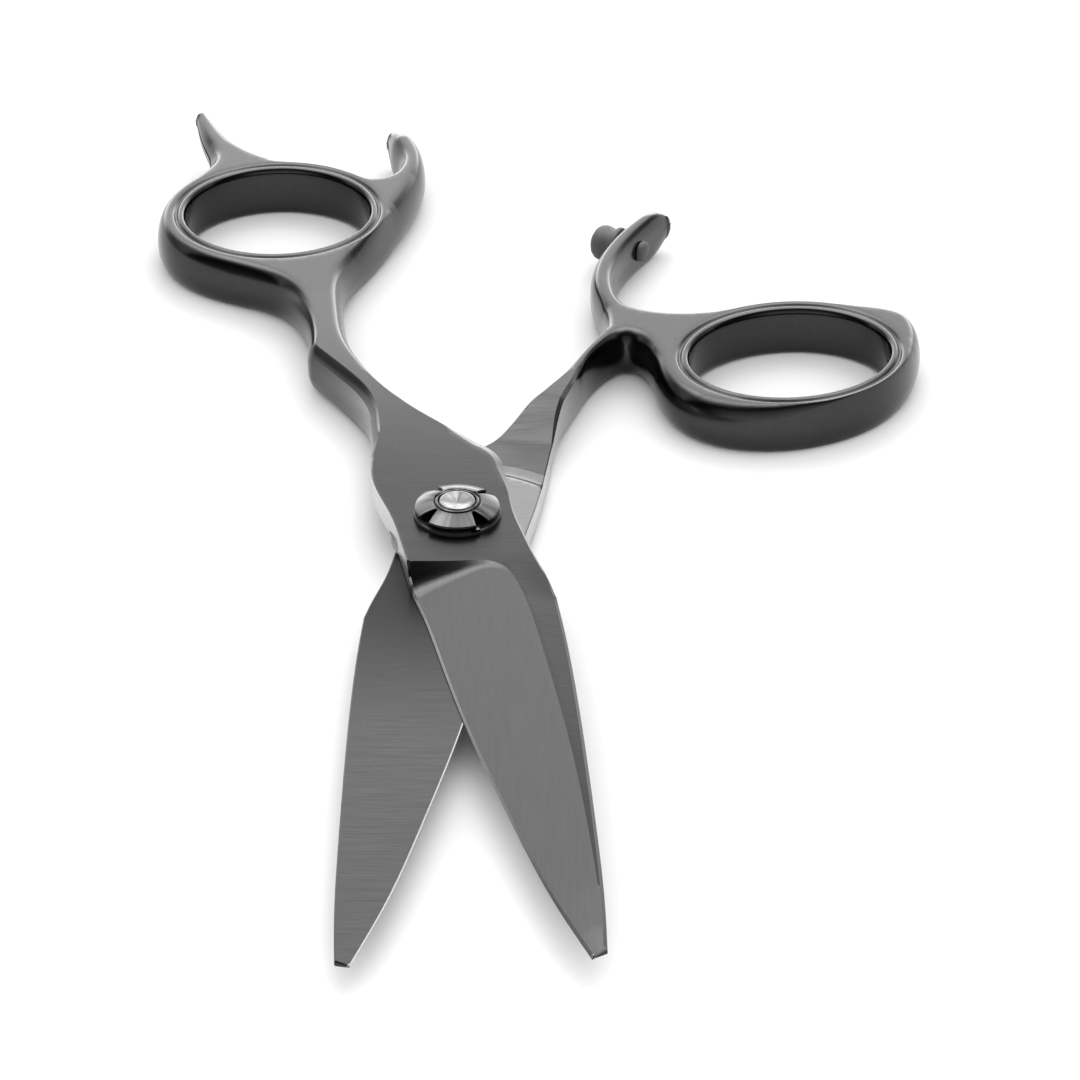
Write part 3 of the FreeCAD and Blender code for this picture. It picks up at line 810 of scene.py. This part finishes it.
def tone(nodes, links, source, low, high):
    node = nodes.new("ShaderNodeValToRGB")
    node.color_ramp.elements[0].position = 0.3
    node.color_ramp.elements[0].color = (*low, 1)
    node.color_ramp.elements[1].position = 0.7
    node.color_ramp.elements[1].color = (*high, 1)
    links.new(source, node.inputs["Fac"])
    return node.outputs["Color"]


def steel(name, dark, light, rough, stretch, scale, bump, depth=0.00002, metallic=1.0):
    """A surface with fine streaks in its tone and relief, and broad patches in its gloss. dark
    and light are the ends of its tone, rough those of its roughness."""
    material, nodes, links = new_material(name)
    shader = nodes["Principled BSDF"]
    shader.inputs["Metallic"].default_value = metallic
    fine = streaks(nodes, links, stretch, scale)
    broad = streaks(nodes, links, (1, 1, 1), 90.0, 2.0)
    links.new(tone(nodes, links, fine, dark, light), shader.inputs["Base Color"])
    links.new(remap(nodes, links, broad, *rough), shader.inputs["Roughness"])
    raise_up = nodes.new("ShaderNodeBump")
    raise_up.inputs["Strength"].default_value = bump
    raise_up.inputs["Distance"].default_value = depth
    links.new(fine, raise_up.inputs["Height"])
    links.new(raise_up.outputs["Normal"], shader.inputs["Normal"])
    return material


def grey(value):
    return (value, value, value * 1.01)


def fade_along(material, start, end, colour, rough):
    """Lets a steel fade, along +Y from start to end, into a plain tone and gloss."""
    nodes, links = material.node_tree.nodes, material.node_tree.links
    shader = nodes["Principled BSDF"]
    where = nodes.new("ShaderNodeTexCoord")
    split = nodes.new("ShaderNodeSeparateXYZ")
    links.new(where.outputs["Object"], split.inputs["Vector"])
    fade = nodes.new("ShaderNodeMapRange")
    fade.interpolation_type = "SMOOTHSTEP"
    fade.inputs["From Min"].default_value = start * MM
    fade.inputs["From Max"].default_value = end * MM
    links.new(split.outputs["Y"], fade.inputs["Value"])
    for socket, kind, value in (
            ("Base Color", "RGBA", (*colour, 1)), ("Roughness", "FLOAT", rough)):
        mix = nodes.new("ShaderNodeMix")
        mix.data_type = kind
        links.new(fade.outputs["Result"], mix.inputs["Factor"])
        links.new(shader.inputs[socket].links[0].from_socket, mix.inputs["A"])
        mix.inputs["B"].default_value = value
        links.new(mix.outputs["Result"], shader.inputs[socket])


SATIN = steel("satin_steel", grey(0.044), grey(0.05), (0.17, 0.21), (1, 1, 1), 2500.0, 0.04)
PLATE_STEEL = steel(
    "plate_steel", grey(0.011), grey(0.021), (0.24, 0.31), (1, 40, 1), 250.0, 0.2)
fade_along(PLATE_STEEL, 6.0, 40.0, grey(0.051), 0.19)
FACE_STEEL = steel(
    "ground_steel", grey(0.04), grey(0.046), (0.14, 0.18), (30, 1, 1), 200.0, 0.04)
INNER_STEEL = steel(
    "inner_steel", grey(0.028), grey(0.049), (0.24, 0.32), (1, 50, 1), 250.0, 0.3)
# Steel of the blade's inner face, with painted shade: from -34 to -8 mm it fades to near black
# towards the root, where the other half shades it.
BLADE_STEEL_AND_ROOT_SHADE = steel(
    "inner_blade_steel_and_root_shade", grey(0.026), grey(0.045), (0.24, 0.32), (1, 50, 1), 250.0, 0.3)
fade_along(BLADE_STEEL_AND_ROOT_SHADE, -34.0, -8.0, grey(0.002), 0.3)
# Upright walls of the plate and shank: the black steel brightened about tenfold, a painted
# reflection of the pale surroundings, fading back to the plain steel's tone from 8 to 34 mm along
# the shank.
WALL_STEEL_PAINTED_REFLECTION = steel(
    "wall_painted_reflection", grey(0.48), grey(0.52), (0.2, 0.26), (1, 1, 1), 900.0, 0.05)
fade_along(WALL_STEEL_PAINTED_REFLECTION, 8.0, 34.0, grey(0.051), 0.19)
HONED_STEEL = steel(
    "honed_steel", grey(0.18), grey(0.23), (0.2, 0.3), (1, 14, 1), 900.0, 0.1)
POLISHED = steel(
    "polished_seat", grey(0.1), grey(0.125), (0.12, 0.18), (1, 14, 1), 900.0, 0.1)
TURNED = steel("turned_band", grey(0.08), grey(0.095), (0.2, 0.26), (1, 1, 1), 900.0, 0.1)


def spun_steel(name, dark, light, rough, count):
    """Turned metal, whose tone and gloss change with the direction from the axis."""
    material, nodes, links = new_material(name)
    shader = nodes["Principled BSDF"]
    shader.inputs["Metallic"].default_value = 1.0
    where = nodes.new("ShaderNodeTexCoord")
    around = nodes.new("ShaderNodeTexGradient")
    around.gradient_type = "RADIAL"
    links.new(where.outputs["Object"], around.inputs["Vector"])
    noise = nodes.new("ShaderNodeTexNoise")
    noise.noise_dimensions = "1D"
    noise.inputs["Scale"].default_value = count
    noise.inputs["Detail"].default_value = 5.0
    links.new(around.outputs["Fac"], noise.inputs["W"])
    links.new(tone(nodes, links, noise.outputs["Fac"], dark, light), shader.inputs["Base Color"])
    links.new(remap(nodes, links, noise.outputs["Fac"], *rough), shader.inputs["Roughness"])
    return material


CHROME = spun_steel("dark_chrome", grey(0.003), grey(0.085), (0.14, 0.22), 9.0)
STUD_STEEL = spun_steel("stud_steel", grey(0.03), grey(0.18), (0.14, 0.22), 5.0)
BRONZE = steel(
    "bush_bronze", (0.32, 0.2, 0.1), (0.4, 0.26, 0.13), (0.3, 0.4), (1, 1, 4), 1500.0, 0.1)
NYLON = steel("black_nylon", grey(0.008), grey(0.014), (0.45, 0.6), (1, 1, 1), 4000.0, 0.2,
              metallic=0.0)
PTFE = steel("grey_ptfe", grey(0.16), grey(0.2), (0.5, 0.6), (1, 1, 1), 4000.0, 0.2,
             metallic=0.0)
RUBBER = steel("grey_rubber", grey(0.05), grey(0.07), (0.55, 0.7), (1, 1, 1), 5000.0, 0.3,
               metallic=0.0)


HALF_STEELS = [SATIN, PLATE_STEEL, FACE_STEEL, INNER_STEEL, HONED_STEEL, POLISHED, TURNED,
               BLADE_STEEL_AND_ROOT_SHADE, WALL_STEEL_PAINTED_REFLECTION]


def on_shank(x, y):
    """Whether an upright wall is on the plate's or the shank's outline, clear of the pivot's
    bore and of the thumb ring."""
    return HEEL < y < 36 and math.hypot(x, y) > 5.0 and abs(x) < 12.0


def steel_at(x, y, up, is_lower):
    """The steel of a half at a place, for the half whose cutting edge is at -X. up is 1 on its
    outer side, -1 on its inner side and 0 on its walls."""
    crease = np.interp(-y, -shoulder_curve[:, 1], shoulder_curve[:, 0])
    edge_x = np.interp(-y, -edge_curve[:, 1], edge_curve[:, 0])
    if y < HEEL and x - edge_x < HONE_WIDTH and x < 0:
        return INNER_STEEL if is_lower and up > 0 else HONED_STEEL
    if up > 0.3:
        if y < -7.3 and x < crease:
            return FACE_STEEL
        return PLATE_STEEL if y < 46 and up > 0.985 else SATIN
    if up < -0.6 and y < RAMP_END + 2:
        far = math.hypot(x, y)
        on_seat = is_lower and y > 0 and x < 0 and far < POLISH_RADIUS + POLISH_RISE
        if on_seat and abs(far - POLISH_RADIUS) > 0.15:
            return POLISHED if far < POLISH_RADIUS else TURNED
        # The blade's inner face takes the steel with painted shade darkening its root.
        return BLADE_STEEL_AND_ROOT_SHADE if y < 4 else INNER_STEEL
    # Upright walls on the plate and shank take the steel with the painted reflection.
    return WALL_STEEL_PAINTED_REFLECTION if abs(up) < 0.3 and on_shank(x, y) else SATIN


def paint_half(piece, mirror, inner_side):
    """Gives each face of a half its finish, while the half is still closed and in mm.
    inner_side is 1 where the inner side faces up, -1 where it faces down."""
    for material in HALF_STEELS:
        piece.data.materials.append(material)
    numbers = {material.name: number for number, material in enumerate(HALF_STEELS)}
    for face in piece.data.polygons:
        x, y, _ = face.center
        found = steel_at(mirror * x, y, face.normal.z * -inner_side, inner_side > 0)
        face.material_index = numbers[found.name]


def add_piece(piece, material, body, node, turn=0.0, sharp=20.0):
    """Finishes a piece that stands for one CAD node."""
    piece.data.materials.append(material)
    settle(piece, turn, sharp)
    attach(piece, body)
    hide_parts(node)


def finish_node(node, material):
    """Gives a CAD node that is kept as it is its own material."""
    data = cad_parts[node].data
    data.materials.clear()
    data.materials.append(material)


# ---------------------------------------------------------------- building the pieces
upper = make_finger_half()
paint_half(upper, 1, -1)
settle(upper, FINGER_TURN)
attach(upper, "finger_side")
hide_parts("finger_half")

lower = make_thumb_half()
paint_half(lower, -1, 1)
settle(lower, THUMB_TURN)
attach(lower, "thumb_side")
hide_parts("thumb_half")

add_piece(make_dial(), CHROME, "dial", "tension_dial")
add_piece(make_stud(), STUD_STEEL, "thumb_side", "pivot_stud")
add_piece(make_bumper(), RUBBER, "thumb_side", "bumper", THUMB_TURN, 50.0)
for node, material in (
        ("pivot_bush", BRONZE), ("ride_washer", PTFE), ("thrust_washer", NYLON),
        ("click_plate", POLISHED), ("click_spring", POLISHED)):
    finish_node(node, material)


# ---------------------------------------------------------------- camera, floor and light
CAMERA_PLACE = (0.00762, -0.31565, 0.19667)
CAMERA_PITCH = 58.428        # degrees up from straight down
CAMERA_LENS = 133.33         # focal length, millimetres
CAMERA_SENSOR = 36.0         # its sensor's width, millimetres
FLOOR_HALF = 3.0             # half the floor's width


def make_camera():
    data = bpy.data.cameras.new("camera")
    data.lens = CAMERA_LENS
    data.sensor_width = CAMERA_SENSOR
    data.clip_start = 0.01
    camera = bpy.data.objects.new("camera", data)
    camera.location = CAMERA_PLACE
    camera.rotation_euler = (math.radians(CAMERA_PITCH), 0, 0)
    bpy.context.scene.collection.objects.link(camera)
    bpy.context.scene.camera = camera


def make_floor():
    mesh = bmesh.new()
    signs = [(-1, -1), (1, -1), (1, 1), (-1, 1)]
    mesh.faces.new([mesh.verts.new((x * FLOOR_HALF, y * FLOOR_HALF, 0)) for x, y in signs])
    data = bpy.data.meshes.new("floor")
    mesh.to_mesh(data)
    mesh.free()
    floor = bpy.data.objects.new("floor", data)
    bpy.context.scene.collection.objects.link(floor)
    material, nodes, links = new_material("pale_floor")
    shader = nodes["Principled BSDF"]
    shader.inputs["Roughness"].default_value = 0.9
    shader.inputs["Specular IOR Level"].default_value = 0.0
    soft = streaks(nodes, links, (1, 1, 1), 4.0, 1.0)
    links.new(tone(nodes, links, soft, (0.9, 0.9, 0.9), (0.92, 0.92, 0.92)),
              shader.inputs["Base Color"])
    data.materials.append(material)


FILL_BRIGHTNESS = 1.25       # of the even light on the floor
MIRRORED_BRIGHTNESS = 7.5    # of the studio where the metal mirrors it
# How bright the studio is at each angle over the shears, from the far horizon (0) through
# straight up (90) to the horizon behind the camera (180). The two ends come first.
STUDIO_STOPS = [(0, 0.7), (180, 0.14), (12, 0.6), (27, 0.4), (40, 0.46), (58, 0.85),
                (84, 1.0), (100, 0.55), (115, 0.06), (130, 0.004), (142, 0.014), (155, 0.06)]
STUDIO_SIDES = (0.4, 0.85, 0.12)     # sideways from, to, and what is left of it there


def make_world():
    """An even white for the floor and the background. What the metal mirrors is brighter: a
    studio that is bright overhead and beyond the shears, and dark above and behind the camera."""
    world = bpy.data.worlds.new("studio")
    world.use_nodes = True
    bpy.context.scene.world = world
    nodes, links = world.node_tree.nodes, world.node_tree.links
    background = nodes["Background"]
    where = nodes.new("ShaderNodeTexCoord")
    split = nodes.new("ShaderNodeSeparateXYZ")
    links.new(where.outputs["Generated"], split.inputs["Vector"])
    height = nodes.new("ShaderNodeMath")
    height.operation = "ARCTAN2"
    links.new(split.outputs["Z"], height.inputs[0])
    links.new(split.outputs["Y"], height.inputs[1])
    spread = nodes.new("ShaderNodeMapRange")
    spread.inputs["From Max"].default_value = math.pi
    links.new(height.outputs["Value"], spread.inputs["Value"])
    ramp = nodes.new("ShaderNodeValToRGB")
    ramp.color_ramp.interpolation = "EASE"
    elements = ramp.color_ramp.elements
    for number, (angle, value) in enumerate(STUDIO_STOPS):
        element = elements[number] if number < 2 else elements.new(angle / 180)
        element.position = angle / 180
        element.color = (value, value, value, 1)
    links.new(spread.outputs["Result"], ramp.inputs["Fac"])
    aside = nodes.new("ShaderNodeMath")
    aside.operation = "ABSOLUTE"
    links.new(split.outputs["X"], aside.inputs[0])
    side = nodes.new("ShaderNodeMapRange")
    side.interpolation_type = "SMOOTHSTEP"
    side.inputs["From Min"].default_value = STUDIO_SIDES[0]
    side.inputs["From Max"].default_value = STUDIO_SIDES[1]
    side.inputs["To Min"].default_value = 1.0
    side.inputs["To Max"].default_value = STUDIO_SIDES[2]
    links.new(aside.outputs["Value"], side.inputs["Value"])
    studio = nodes.new("ShaderNodeVectorMath")
    studio.operation = "SCALE"
    links.new(ramp.outputs["Color"], studio.inputs["Vector"])
    links.new(side.outputs["Result"], studio.inputs["Scale"])
    path = nodes.new("ShaderNodeLightPath")
    seen = nodes.new("ShaderNodeMix")
    seen.data_type = "RGBA"
    seen.inputs["A"].default_value = (1, 1, 1, 1)
    links.new(path.outputs["Is Glossy Ray"], seen.inputs["Factor"])
    links.new(studio.outputs["Vector"], seen.inputs["B"])
    links.new(seen.outputs["Result"], background.inputs["Color"])
    mirrored = nodes.new("ShaderNodeMapRange")
    mirrored.inputs["To Min"].default_value = FILL_BRIGHTNESS
    mirrored.inputs["To Max"].default_value = MIRRORED_BRIGHTNESS
    links.new(path.outputs["Is Glossy Ray"], mirrored.inputs["Value"])
    links.new(mirrored.outputs["Result"], background.inputs["Strength"])


def make_lamp(name, place, aim, size, power):
    """A soft lamp that lights the scene but is not itself mirrored in the metal."""
    data = bpy.data.lights.new(name, "AREA")
    data.shape = "RECTANGLE"
    data.size, data.size_y = size
    data.energy = power
    lamp = bpy.data.objects.new(name, data)
    lamp.location = place
    direction = Vector(aim) - Vector(place)
    lamp.rotation_euler = direction.to_track_quat("-Z", "Y").to_euler()
    lamp.visible_glossy = False
    bpy.context.scene.collection.objects.link(lamp)


bpy.context.scene.view_settings.view_transform = "Standard"
make_camera()
make_floor()
make_world()
make_lamp("back_softbox", (0.15, 0.95, 0.9), (0, 0, 0), (0.8, 0.8), 5.0)
